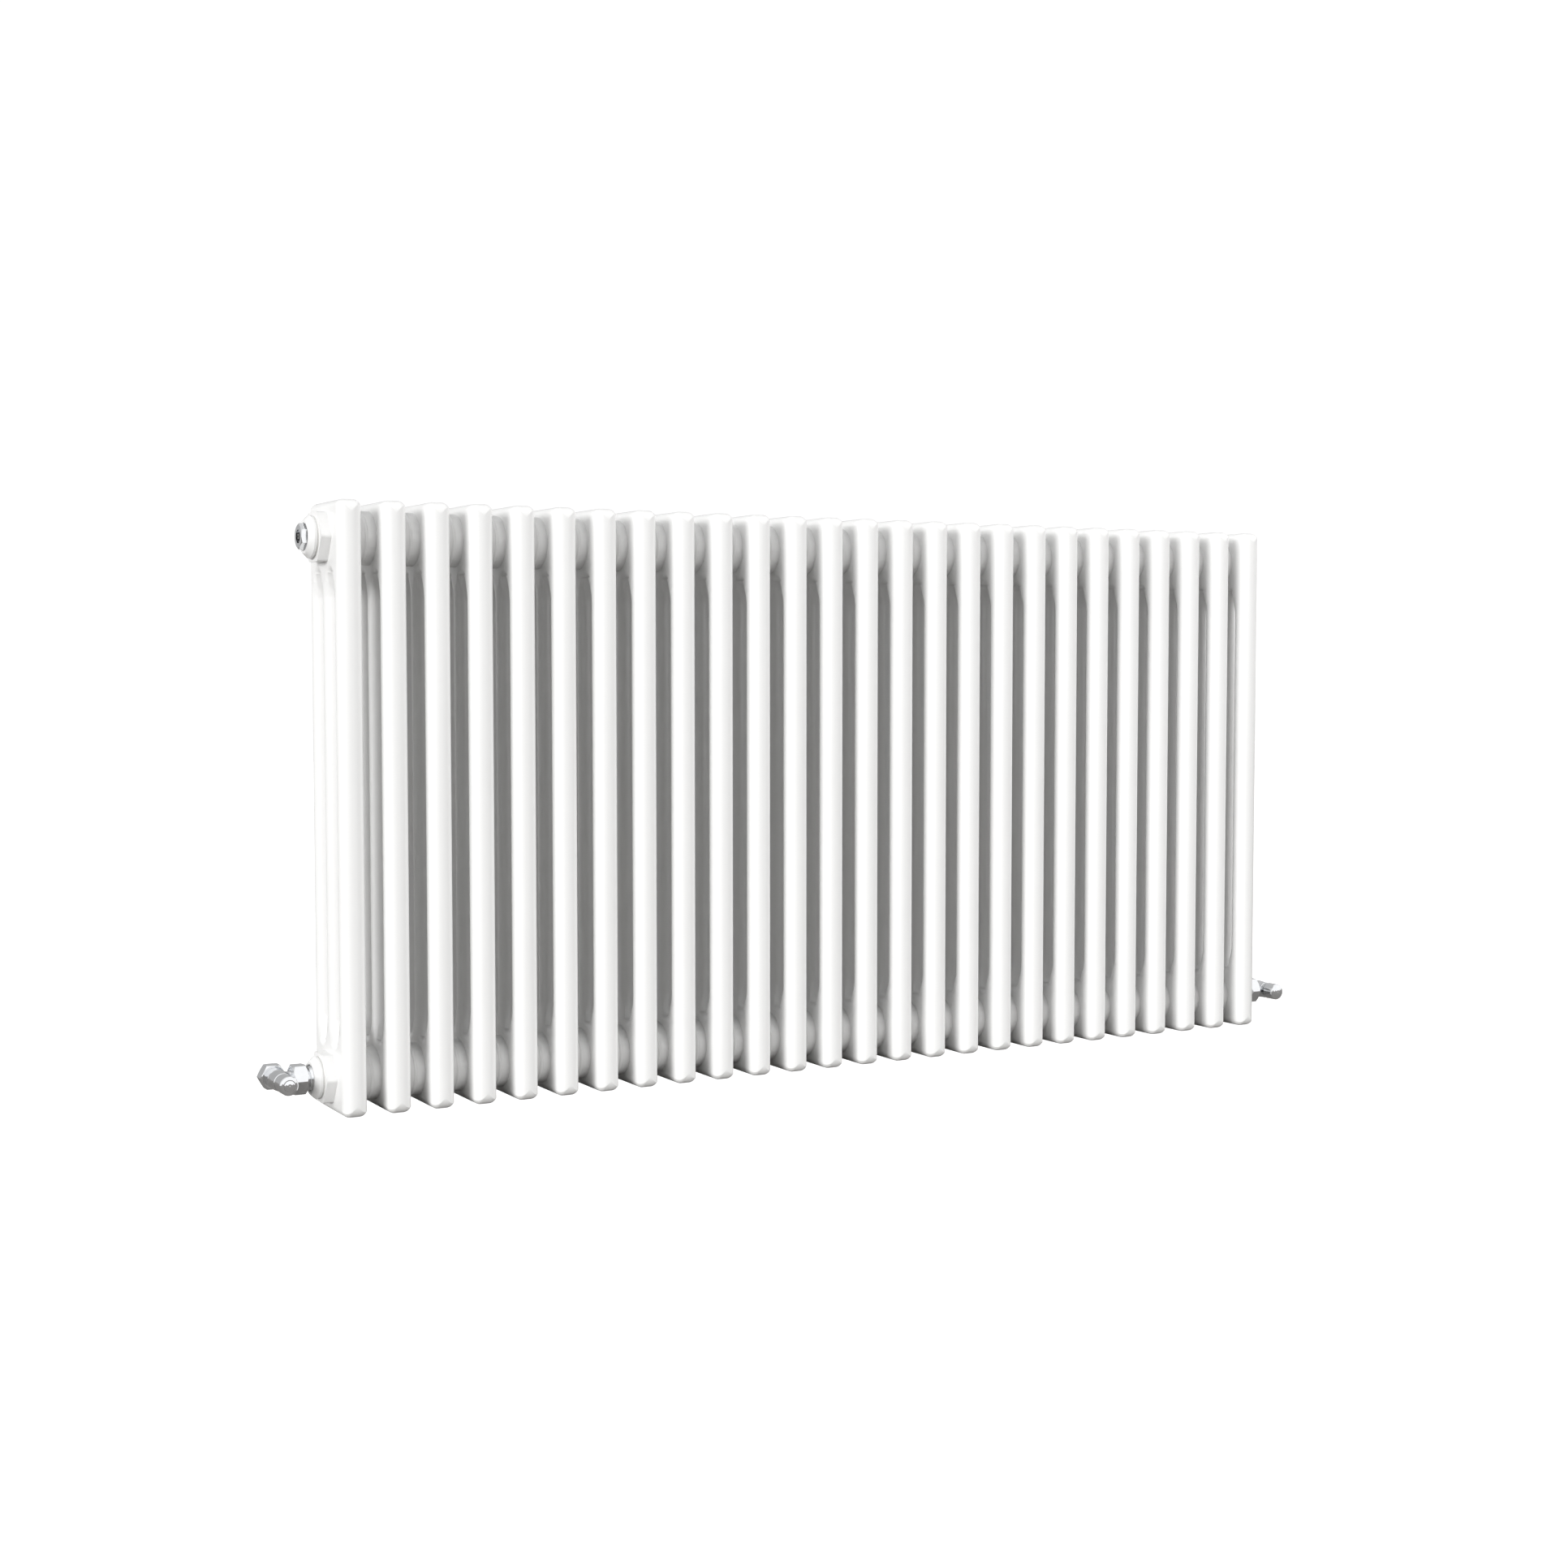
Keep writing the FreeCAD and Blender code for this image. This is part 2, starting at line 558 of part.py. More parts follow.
def handwheel_cover():
    """Domed disc pressed into the knob over its screw."""
    back = SQUARE_END + 1.6
    rim = KNOB_RECESS - 0.1
    front = KNOB_FRONT
    outline = [(back, 0), (back, rim), (front + 0.1, rim), (front + 0.6, 4.2), (front + 0.95, 2.4),
               (front + CAP_DOME, 0)]
    return moved_to_valve(turned(outline, AXIS_Y))


def lockshield_cap():
    """Cup that pushes on over the return spindle and pulls off forwards."""
    front = KNOB_FRONT
    floor = SQUARE_END + 0.8
    outline = [(KNOB_START, CAP_CAVITY)] + knob_outline()
    outline += [(front + 0.6, 4.8), (front + 1.0, 2.4), (front + CAP_DOME, 0), (floor, 0), (floor, CAP_CAVITY)]
    return moved_to_valve(turned(outline, AXIS_Y))


# ---------------------------------------------------------------- output

def save(name, shapes):
    """Writes one or more solids as one node."""
    shape = shapes[0] if len(shapes) == 1 else Part.makeCompound(shapes)
    shape.translate(Vector(0, 0, HEIGHT / 2))
    bad = [s for s in shape.Solids if not s.isValid() or s.Volume <= 0]
    if bad:
        print(name, "has a faulty solid")
    shape.exportStep("parts/" + name + ".step")


def main():
    os.makedirs("parts", exist_ok=True)
    for number in range(1, SECTION_COUNT + 1):
        save("section_%02d" % number, section(number))

    sides = {"left": -1, "right": 1}
    corners = [("top", "left"), ("top", "right"), ("bottom", "left"), ("bottom", "right")]
    levels = {"top": 1, "bottom": -1}
    place = [(sides[side], levels[level]) for level, side in corners]
    for level, side in corners:
        save("reducing_bush_%s_%s" % (level, side), [at_corner(bush(), sides[side], levels[level])])
    seal_x = PLUG_SEAT - SEAL_RING - 0.1
    save("bush_gaskets", [at_corner(bush_gasket(), s, v) for s, v in place])
    save("connection_seals", [at_corner(o_ring(seal_x), s, v) for s, v in place])
    save("air_vent_plug", [at_corner(vent_plug(), -1, 1)])
    save("bleed_screw", [at_corner(bleed_screw(), -1, 1)])
    save("blank_plug", [at_corner(blank_plug(), 1, 1)])

    for valve, side in (("supply", -1), ("return", 1)):
        save(valve + "_valve_body", [at_corner(valve_body(), side, -1)])
        save(valve + "_valve_tail", [at_corner(valve_tail(), side, -1)])
        save(valve + "_union_nut", [at_corner(union_nut(), side, -1)])
        save(valve + "_compression_nut", [at_corner(compression_nut(), side, -1)])
        save(valve + "_bonnet", [at_corner(bonnet(), side, -1)])
        save(valve + "_spindle", [at_corner(spindle(), side, -1)])
        save(valve + "_valve_plug", [at_corner(valve_plug(), side, -1)])
        save(valve + "_plug_washer", [at_corner(plug_washer(), side, -1)])
    save("olives", [at_corner(olive(), side, -1) for side in (-1, 1)])
    save("spindle_seals", [at_corner(spindle_seal(), side, -1) for side in (-1, 1)])
    save("handwheel", [at_corner(handwheel(), -1, -1)])
    save("handwheel_screw", [at_corner(handwheel_screw(), -1, -1)])
    save("handwheel_cover", [at_corner(handwheel_cover(), -1, -1)])
    save("lockshield_cap", [at_corner(lockshield_cap(), 1, -1)])


main()
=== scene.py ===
"""Looks of a column radiator with a chromed angle valve at each lower corner.

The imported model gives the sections, the end fittings and the valves.  This script gives every one of
them its finish, replaces the two cast valve bodies with blended castings, adds the drawn-in necks under
the headers and the weld beads round the hubs, and sets up the studio.  Lengths are in metres, in the
model's own frame: X runs along the radiator, +Y to the wall and +Z up.
"""
import json
import math

import bmesh
import bpy
import numpy as np
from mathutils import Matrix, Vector


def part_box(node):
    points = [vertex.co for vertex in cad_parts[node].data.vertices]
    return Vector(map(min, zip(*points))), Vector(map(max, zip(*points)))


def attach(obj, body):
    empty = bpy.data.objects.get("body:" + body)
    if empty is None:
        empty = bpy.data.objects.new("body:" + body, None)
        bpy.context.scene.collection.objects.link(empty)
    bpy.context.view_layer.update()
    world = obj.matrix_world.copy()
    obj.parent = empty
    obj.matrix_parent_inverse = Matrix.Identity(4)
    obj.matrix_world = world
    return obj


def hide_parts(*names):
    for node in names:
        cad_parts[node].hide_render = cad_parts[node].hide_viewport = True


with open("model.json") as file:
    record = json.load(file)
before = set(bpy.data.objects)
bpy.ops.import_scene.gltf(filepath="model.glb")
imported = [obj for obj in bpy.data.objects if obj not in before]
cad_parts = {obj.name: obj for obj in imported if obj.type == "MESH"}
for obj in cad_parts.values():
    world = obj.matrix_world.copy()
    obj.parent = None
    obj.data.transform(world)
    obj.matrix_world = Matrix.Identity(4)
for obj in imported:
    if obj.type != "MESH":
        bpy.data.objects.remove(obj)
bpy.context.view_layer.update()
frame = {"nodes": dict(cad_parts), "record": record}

bl_info = {
    "name": "Column radiator looks",
    "version": (1, 0, 0),
    "blender": (4, 5, 0),
    "location": "3D View > Sidebar > Radiator",
    "description": "Finishes, castings, weld beads and studio for a column radiator with angle valves",
    "category": "Object",
}

MILLIMETRE = 0.001
VALVES = ("supply", "return")
SECTIONS = sorted(name for name in frame["nodes"] if name.startswith("section_"))


# ---------------------------------------------------------------- places read from the model

def middle_of(node):
    """The middle of a node's box."""
    low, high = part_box(node)
    return (low + high) / 2


RADIATOR_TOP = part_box(SECTIONS[1])[1].z
RADIATOR_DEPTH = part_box(SECTIONS[1])[1].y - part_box(SECTIONS[1])[0].y
SECTION_PITCH = middle_of(SECTIONS[2]).x - middle_of(SECTIONS[1]).x
FIRST_X = middle_of(SECTIONS[1]).x - SECTION_PITCH
HUB_LOW_Z = middle_of("supply_union_nut").z
HUB_HIGH_Z = RADIATOR_TOP - HUB_LOW_Z
FLOOR_DROP = 1.0                    # the radiator hangs this far above the floor
TUBE_RADIUS = 12.5 * MILLIMETRE
COLUMN_SPACING = (RADIATOR_DEPTH - 2 * TUBE_RADIUS) / 2
HUB_RADIUS = 26.5 * MILLIMETRE
ARCH_Z = 70 * MILLIMETRE            # the bottom headers' arches between the tubes
LEG_CORNER = 8 * MILLIMETRE         # round of a header leg's corners
SKIN = 0.02 * MILLIMETRE            # a new piece stands this far off the surface that it covers
SINK = 0.2 * MILLIMETRE             # and is rooted this deep in it
FLOOR_SIZE = 30                     # half the width of the floor
CARD_Z = 0.0                        # the grey card is level with the radiator's foot


# ---------------------------------------------------------------- surfaces

def grid_faces(rows, columns, close_rows=True, close_columns=True):
    """Quads of a grid of points, its last row or column joined to its first where that is closed."""
    r = np.arange(rows if close_rows else rows - 1)
    c = np.arange(columns if close_columns else columns - 1)
    r, c = (a.ravel() for a in np.meshgrid(r, c, indexing="ij"))
    r2 = (r + 1) % rows
    c2 = (c + 1) % columns
    return np.stack([r * columns + c, r2 * columns + c, r2 * columns + c2, r * columns + c2], axis=1)


def mesh_piece(name, points, faces, material, body, sharp=math.radians(34)):
    """A finished piece: points and faces in place, smooth but for edges sharper than the limit."""
    mesh = bpy.data.meshes.new(name)
    mesh.from_pydata(points.reshape(-1, 3).tolist(), [], faces.tolist())
    mesh.validate()
    mesh.shade_smooth()
    mesh.set_sharp_from_angle(angle=sharp)
    mesh.materials.append(material)
    piece = bpy.data.objects.new(name, mesh)
    bpy.context.scene.collection.objects.link(piece)
    if body:
        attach(piece, body)
    return piece


def arc_points(centre, radius, start, end, count):
    """Points (along, out) on an arc in the plane of a profile, angles in degrees."""
    angle = np.radians(np.linspace(start, end, count))
    return np.stack([centre[0] + radius * np.cos(angle), centre[1] + radius * np.sin(angle)], axis=1)


def straight(points, step):
    """Points along a polyline, at most step apart, with its corners kept."""
    points = np.asarray(points, float)
    runs = []
    for a, b in zip(points[:-1], points[1:]):
        count = max(1, int(np.ceil(np.linalg.norm(b - a) / step)))
        runs.append(a + (b - a) * np.arange(count)[:, None] / count)
    return np.concatenate(runs + [points[-1:]])


def spun(profile, turns):
    """A closed profile of (along, out) points carried round the X axis: a grid of turns by points."""
    angle = np.linspace(0, 2 * np.pi, turns, endpoint=False)[:, None]
    along = np.broadcast_to(profile[:, 0], (turns, len(profile)))
    return np.stack([along, profile[:, 1] * np.cos(angle), profile[:, 1] * np.sin(angle)], axis=2)


# ---------------------------------------------------------------- shader maths

class Shade:
    """Wraps a shader socket, so that arithmetic on it adds the Math nodes it stands for."""

    def __init__(self, finish, socket):
        self.finish = finish
        self.socket = socket

    def maths(self, operation, first, second):
        return self.finish.node("ShaderNodeMath", {"operation": operation}, {0: first, 1: second})

    def __add__(self, other):
        return self.maths("ADD", self, other)

    __radd__ = __add__

    def __mul__(self, other):
        return self.maths("MULTIPLY", self, other)

    __rmul__ = __mul__


class Finish:
    """A new node material.  Every node but the shader comes from its node method."""

    def __init__(self, name):
        self.material = bpy.data.materials.new(name)
        self.material.use_nodes = True
        self.tree = self.material.node_tree
        self.shader = self.tree.nodes["Principled BSDF"]

    def fill(self, socket, value):
        """Links a shade to a socket, or sets its value."""
        if isinstance(value, Shade):
            self.tree.links.new(value.socket, socket)
        else:
            socket.default_value = value

    def node(self, kind, settings, inputs, output=0):
        """Adds a node: its settings are set first and then its sockets."""
        made = self.tree.nodes.new(kind)
        for key, value in settings.items():
            setattr(made, key, value)
        for key, value in inputs.items():
            self.fill(made.inputs[key], value)
        return Shade(self, made.outputs[output])

    def noise(self, scale, detail=2.0, stretch=(1, 1, 1)):
        """Smooth noise about 0.5, on Object coordinates stretched along X, Y and Z."""
        place = self.node("ShaderNodeTexCoord", {}, {}, "Object")
        turned = self.node("ShaderNodeMapping", {}, {"Vector": place, "Scale": stretch})
        return self.node("ShaderNodeTexNoise", {}, {"Vector": turned, "Scale": scale, "Detail": detail})

    def mix(self, factor, first, second):
        """A colour between two."""
        return self.node("ShaderNodeMix", {"data_type": "RGBA"}, {0: factor, 6: first, 7: second}, 2)

    def bump(self, height, distance):
        """Relief: a height of 1 stands that many metres proud."""
        return self.node("ShaderNodeBump", {}, {"Strength": 1.0, "Distance": distance, "Height": height})

    def done(self, values):
        """Sets the shader's sockets and returns the material."""
        for key, value in values.items():
            self.fill(self.shader.inputs[key], value)
        return self.material


def shade_of(colour, share):
    """The same colour, lighter or darker, with an alpha of 1."""
    return tuple(min(1.0, part * share) for part in colour[:3]) + (1.0,)


def powder_coat(looks):
    """White powder coat: orange peel in cells of about a millimetre, over a slow swell in the metal."""
    finish = Finish("white_powder_coat")
    peel = finish.noise(820, 1.5)
    swell = finish.noise(70)
    tone = finish.noise(9)
    return finish.done({
        "Base Color": finish.mix(tone, shade_of(looks.paint, 0.985), shade_of(looks.paint, 1.015)),
        "Roughness": looks.paint_roughness - 0.05 + 0.06 * peel + 0.04 * swell,
        "Normal": finish.bump(0.75 * peel + 0.9 * swell, 0.00006),
        "Coat Weight": 0.3,
        "Coat Roughness": 0.12,
    })


def chrome(looks):
    """Polished chrome over brass: a faint haze and the gentle waves that polishing leaves."""
    finish = Finish("polished_chrome")
    haze = finish.noise(160, 4.0)
    wave = finish.noise(95)
    fine = finish.noise(2600, 1.0)
    return finish.done({
        "Base Color": finish.mix(haze, shade_of(looks.chrome, 0.95), shade_of(looks.chrome, 1.05)),
        "Metallic": 1.0,
        "Roughness": looks.chrome_roughness - 0.02 + 0.05 * haze + 0.02 * fine,
        "Normal": finish.bump(wave + 0.03 * fine, 0.00002),
    })


def turned_metal(name, colour, roughness, rings):
    """Bright turned metal: fine tool marks in rings, round the axis whose part of rings is the largest."""
    finish = Finish(name)
    marks = finish.noise(60, 3.0, rings)
    dull = finish.noise(210, 3.0)
    return finish.done({
        "Base Color": finish.mix(dull, shade_of(colour, 0.86), shade_of(colour, 1.1)),
        "Metallic": 1.0,
        "Roughness": roughness - 0.06 + 0.12 * dull,
        "Normal": finish.bump(marks, 0.00004),
    })


def seal_rubber():
    """Black moulded rubber with a fine grain and a little bloom."""
    finish = Finish("seal_rubber")
    grain = finish.noise(1900, 3.0)
    bloom = finish.noise(240, 3.0)
    return finish.done({
        "Base Color": finish.mix(bloom, (0.012, 0.012, 0.013, 1), (0.035, 0.035, 0.036, 1)),
        "Roughness": 0.55 + 0.2 * grain,
        "Normal": finish.bump(grain, 0.00003),
    })


def gasket_fibre():
    """Pale pressed fibre, its fleck longer along the sheet than through it."""
    finish = Finish("fibre_gasket")
    fleck = finish.noise(900, 5.0, (3, 1, 1))
    return finish.done({
        "Base Color": finish.mix(fleck, (0.62, 0.62, 0.6, 1), (0.84, 0.84, 0.82, 1)),
        "Roughness": 0.75 + 0.15 * fleck,
        "Normal": finish.bump(fleck, 0.00005),
    })


def studio_floor():
    """Pale matt floor with a hardly visible mottle."""
    finish = Finish("pale_floor")
    mottle = finish.noise(3, 3.0)
    return finish.done({
        "Base Color": finish.mix(mottle, (0.9, 0.9, 0.895, 1), (0.93, 0.93, 0.925, 1)),
        "Roughness": 0.9,
        "Emission Color": (1, 1, 1, 1),
        "Emission Strength": 0.35,
    })


MATERIALS = {}


def material(name):
    """The named finish, made once from the settings."""
    looks = bpy.context.scene.radiator_looks
    makers = {
        "white_powder_coat": lambda: powder_coat(looks),
        "chrome": lambda: chrome(looks),
        "brass": lambda: turned_metal("turned_brass", looks.brass, 0.3, (0.2, 22, 0.2)),
        # the bleed screw is plated metal, with its colour darker than nickel plate: painted shade of the vent
        # plug's bore where it sits
        "plated_brass_and_bore_shade": lambda: turned_metal("nickel_plated_brass_and_bore_shade", looks.nickel_and_bore_shade, 0.24, (22, 0.2, 0.2)),
        "steel": lambda: turned_metal("zinc_steel", looks.steel, 0.34, (1, 8, 1)),
        "seal_rubber": seal_rubber,
        "fibre_gasket": gasket_fibre,
    }
    if name not in MATERIALS:
        MATERIALS[name] = makers[name]()
    return MATERIALS[name]


def dress(nodes, name):
    """Gives CAD nodes a finish in their material slots."""
    for node in nodes:
        slots = frame["nodes"][node].data.materials
        slots.clear()
        slots.append(material(name))


# ---------------------------------------------------------------- settings

class RadiatorLooks(bpy.types.PropertyGroup):
    """Colours and finishes of the metal, and the sizes of its joints."""
    paint: bpy.props.FloatVectorProperty(
        name="Paint", description="Colour of the powder coat", subtype="COLOR", size=3,
        min=0, max=1, default=(0.78, 0.78, 0.775))
    paint_roughness: bpy.props.FloatProperty(
        name="Paint roughness", description="0 is wet gloss and 1 is matt", subtype="FACTOR",
        min=0, max=1, default=0.34)
    chrome: bpy.props.FloatVectorProperty(
        name="Chrome", description="Colour of the chrome plate", subtype="COLOR", size=3,
        min=0, max=1, default=(0.74, 0.75, 0.765))
    chrome_roughness: bpy.props.FloatProperty(
        name="Chrome roughness", description="0 is a mirror", subtype="FACTOR", min=0, max=1, default=0.07)
    brass: bpy.props.FloatVectorProperty(
        name="Brass", description="Colour of the turned brass", subtype="COLOR", size=3,
        min=0, max=1, default=(0.72, 0.5, 0.2))
    # Plated bleed screw: real nickel plate, with its colour kept dark as painted shade of the bore that the
    # screw sits in.
    nickel_and_bore_shade: bpy.props.FloatVectorProperty(
        name="Nickel", description="Colour of the plated bleed screw", subtype="COLOR", size=3,
        min=0, max=1, default=(0.3, 0.3, 0.295))
    steel: bpy.props.FloatVectorProperty(
        name="Steel", description="Colour of the plated screw", subtype="COLOR", size=3,
        min=0, max=1, default=(0.56, 0.57, 0.6))
    neck_length: bpy.props.FloatProperty(
        name="Neck length", description="From the arch between two tubes to where the tubes are round",
        subtype="DISTANCE", unit="LENGTH", min=0.01, max=0.04, default=24 * MILLIMETRE)
    bead_width: bpy.props.FloatProperty(
        name="Bead width", description="Width of the weld bead round a hub",
        subtype="DISTANCE", unit="LENGTH", min=0.001, max=0.006, default=3.2 * MILLIMETRE)
    bead_height: bpy.props.FloatProperty(
        name="Bead height", description="How far the weld bead stands out of the hub",
        subtype="DISTANCE", unit="LENGTH", min=0.0001, max=0.002, default=0.55 * MILLIMETRE)


class RadiatorStudio(bpy.types.PropertyGroup):
    """Camera and lights."""
    azimuth: bpy.props.FloatProperty(
        name="Azimuth", description="0 looks at the front; below 0 stands to its left", subtype="ANGLE",
        unit="ROTATION", default=math.radians(-29.3))
    elevation: bpy.props.FloatProperty(
        name="Elevation", description="Height of the view above the horizon", subtype="ANGLE",
        unit="ROTATION", default=math.radians(3.096))
    distance: bpy.props.FloatProperty(
        name="Distance", description="From the camera to what it looks at", subtype="DISTANCE",
        unit="LENGTH", default=2.3544)
    target: bpy.props.FloatVectorProperty(
        name="Target", description="The point in the middle of the view", subtype="TRANSLATION",
        unit="LENGTH", size=3, default=(-0.081, -COLUMN_SPACING, 0.3128))
    lens: bpy.props.FloatProperty(
        name="Lens", description="Focal length in millimetres on a 36 mm sensor", unit="CAMERA",
        default=50.23)
    surround: bpy.props.FloatProperty(
        name="Surround", description="Brightness of the surround in polished metal", min=0, default=1.3)
    key: bpy.props.FloatProperty(
        name="Key", description="Strength of the soft lights from the left", min=0, default=1.0)
    fill: bpy.props.FloatProperty(
        name="Fill", description="Strength of the soft light from the right", min=0, default=1.0)
    front: bpy.props.FloatProperty(
        name="Front", description="Strength of the soft lights from the front", min=0, default=1.0)
    overhead: bpy.props.FloatProperty(
        name="Overhead", description="Strength of the soft light from above", min=0, default=1.0)
    rear: bpy.props.FloatProperty(
        name="Rear", description="Strength of the soft lights from behind", min=0, default=1.0)


# ---------------------------------------------------------------- pieces

def faces_out(angle, column):
    """True where a direction points away from the neighbours of a front (-1) or rear (1) column."""
    return np.sin(angle) * column > 1e-6


def leg_outline(angle, reach, column):
    """Half width of a header's leg in the direction angle, seen from above.

    The leg is a rectangle with round corners: as wide as the tube, and reaching so far towards the next
    column.  The distance to it is found along the ray: to the flat side, or where the ray passes a
    corner, to the corner's circle.  On a front or rear leg the half that faces out is the tube's own
    semicircle.
    """
    wide = TUBE_RADIUS - LEG_CORNER
    deep = reach - LEG_CORNER
    c = np.abs(np.cos(angle))
    s = np.abs(np.sin(angle))
    flat = np.minimum(TUBE_RADIUS / np.maximum(c, 1e-9), reach / np.maximum(s, 1e-9))
    dot = wide * c + deep * s
    round_corner = dot + np.sqrt(np.maximum(dot ** 2 - wide ** 2 - deep ** 2 + LEG_CORNER ** 2, 0))
    on_corner = (flat * c > wide) & (flat * s > deep)
    return np.where(faces_out(angle, column), TUBE_RADIUS, np.where(on_corner, round_corner, flat))


def tube_necks(looks):
    """Drawn-in necks where the header legs become round tubes, with tall arches between them.

    For every tube end the neck is a closed shell of two parameters: the angle round the tube, and the
    rise t from its foot to the arch.  A leg reaches further towards its neighbour as it rises, along a
    quarter of an ellipse, until the two meet at the arch.  Its outline is eased from the tube's circle
    by half a cosine wave.  The inside is a cylinder sunk a little in the tube's wall.
    """
    turns = 16
    angle = np.linspace(0, 2 * np.pi, turns, endpoint=False)[:, None]
    rise = np.array([0, 0.3, 0.6, 0.8, 0.93, 1])[None, :]
    overlap = 0.4 * MILLIMETRE
    round_below = 0.64          # the leg's outline is reached at this share of the rise
    half_gap = COLUMN_SPACING / 2 - TUBE_RADIUS
    reach = TUBE_RADIUS + half_gap * (1 - np.sqrt(1 - rise ** 2))
    ease = 0.5 - 0.5 * np.cos(np.pi * np.minimum(rise / round_below, 1))
    z = ARCH_Z - overlap * (rise == 1) + looks.neck_length * (1 - rise)
    z = np.concatenate([z, z[:, -1:], z[:, :1]], axis=1)
    shells = []
    for column in (-1, 0, 1):
        outline = leg_outline(angle, reach, column)
        proud = np.where(faces_out(angle, column), -SKIN, SKIN * (1 - 2 * ease))
        outside = TUBE_RADIUS + proud + (outline - TUBE_RADIUS) * ease
        inside = np.full((turns, 2), TUBE_RADIUS - SINK)
        radius = np.concatenate([outside, inside], axis=1)
        shells.append(np.stack([radius * np.cos(angle), radius * np.sin(angle) + column * COLUMN_SPACING,
                                np.broadcast_to(z, radius.shape)], axis=2))
    rows = rise.size + 2
    low = np.stack(shells)
    high = low * (1, 1, -1) + (0, 0, RADIATOR_TOP)
    faces = grid_faces(turns, rows)
    section_ends = np.concatenate([low, high])
    x = FIRST_X + SECTION_PITCH * np.arange(len(SECTIONS))
    points = section_ends[None] + np.stack([x, 0 * x, 0 * x], axis=1)[:, None, None, None, :]
    each = turns * rows
    ends = np.arange(len(SECTIONS) * len(section_ends))
    upside_down = (ends % len(section_ends)) >= len(low)
    turned = np.where(upside_down[:, None, None], faces[None, :, ::-1], faces[None])
    all_faces = (turned + ends[:, None, None] * each).reshape(-1, 4)
    return points, all_faces


def weld_beads(looks):
    """Weld beads round the hubs, halfway between neighbouring sections.

    A bead is a ring of two parameters: the angle round the hub, and the angle round the bead's own
    low oval section.  Its height ripples with the angle round the hub, as a run of weld pools does.
    """
    turns = 120
    around = 8
    pools = 30
    angle = np.linspace(0, 2 * np.pi, turns, endpoint=False)[:, None]
    section = np.linspace(0, 2 * np.pi, around, endpoint=False)[None, :]
    ripple = 1 + 0.12 * np.cos(pools * angle)
    out = HUB_RADIUS + looks.bead_height * ripple * np.sin(section)
    along = looks.bead_width / 2 * np.cos(section) + 0 * angle
    ring = np.stack([along, out * np.cos(angle), out * np.sin(angle)], axis=2)
    x = FIRST_X + SECTION_PITCH * (np.arange(len(SECTIONS) - 1) + 0.5)
    places = np.array([(a, 0, z) for z in (HUB_LOW_Z, HUB_HIGH_Z) for a in x])
    points = ring[None] + places[:, None, None, :]
    faces = grid_faces(turns, around)
    each = turns * around
    return points, (faces[None] + np.arange(len(places))[:, None, None] * each).reshape(-1, 4)


def casting_barrel():
    """Closed profile of the valve's barrel, as (along, out) points in millimetres along its axis.

    From the pipe's end over the outside to the front, then back through the chamber, the seat and the
    pipe socket.  The outside swells by 0.7 mm over the outlet and has rounded shoulders.
    """
    swell = np.linspace(-17.5, 10.6, 30)
    belly = 9.75 + 0.35 * np.cos(np.clip((swell + 2) / 13, -1, 1) * np.pi)
    outside = np.stack([swell, belly], axis=1)
    return np.concatenate([
        straight([(-28, 7.9), (-28, 9.2), (-27.6, 9.6), (-19.4, 9.6)], 1.5),
        outside,
        arc_points((10.9, 8.4), 1.1, 80, 0, 6),
        straight([(12, 8.0), (-8, 8.0), (-8, 5.2), (-13, 5.2), (-13, 7.6), (-26.7, 7.6), (-28, 7.9)],
                 1.5)[:-1],
    ])


def casting_outlet():
    """The valve's outlet as a grid: its round stub, and a flare that runs into the barrel.

    For each angle round the outlet, the flare is a cubic curve.  It starts on the barrel, on an oval
    wider than the neck, along the barrel's skin, and ends at the neck along the outlet's axis.  The
    profile goes on over the stub and its end and back through the bore, and so closes on itself.
    """
    turns = 96
    steps = 14
    barrel = 10.0
    neck = 9.2
    oval = (12.2, 9.3)          # half sizes of the oval on the barrel, along the barrel and up
    angle = np.linspace(0, 2 * np.pi, turns, endpoint=False)[:, None]
    c = np.cos(angle)
    s = np.sin(angle)
    start = np.stack([-np.sqrt(barrel ** 2 - (oval[1] * s) ** 2), oval[0] * c, oval[1] * s], axis=2)
    end = np.stack([-10.9 + 0 * c, neck * c, neck * s], axis=2)
    bend = -oval[1] * s ** 2 * oval[1] / np.abs(start[..., 0])
    down_skin = np.stack([bend, -oval[0] * c, -oval[1] * s], axis=2) * 0.45
    outward = np.stack([-4.5 + 0 * c, 0 * c, 0 * c], axis=2)
    t = np.linspace(0, 1, steps)[None, :, None]
    flare = ((2 * t ** 3 - 3 * t ** 2 + 1) * start + (t ** 3 - 2 * t ** 2 + t) * down_skin
             + (3 * t ** 2 - 2 * t ** 3) * end + (t ** 3 - t ** 2) * outward)
    rest = straight([(-10.95, neck), (-11.2, 11.4), (-11.6, 11.8), (-17.1, 11.8), (-17.4, 11.5), (-17.4, 6),
                     (-6.5, 6)], 1.2)[1:]
    ring = np.stack([np.broadcast_to(rest[:, 0], (turns, len(rest))), rest[:, 1] * c, rest[:, 1] * s], axis=2)
    return np.concatenate([flare, ring], axis=1)


def at_valve(points, side):
    """Takes points drawn about a valve's axes, in millimetres, to the left or the right corner.

    They are drawn with the outlet along -x and the knob along +y; both places are half turns.
    """
    valve_x = middle_of("handwheel").x if side < 0 else middle_of("lockshield_cap").x
    turn = np.array((-1, -1, 1)) if side < 0 else np.array((1, -1, -1))
    return points * MILLIMETRE * turn + np.array((valve_x, 0, HUB_LOW_Z))


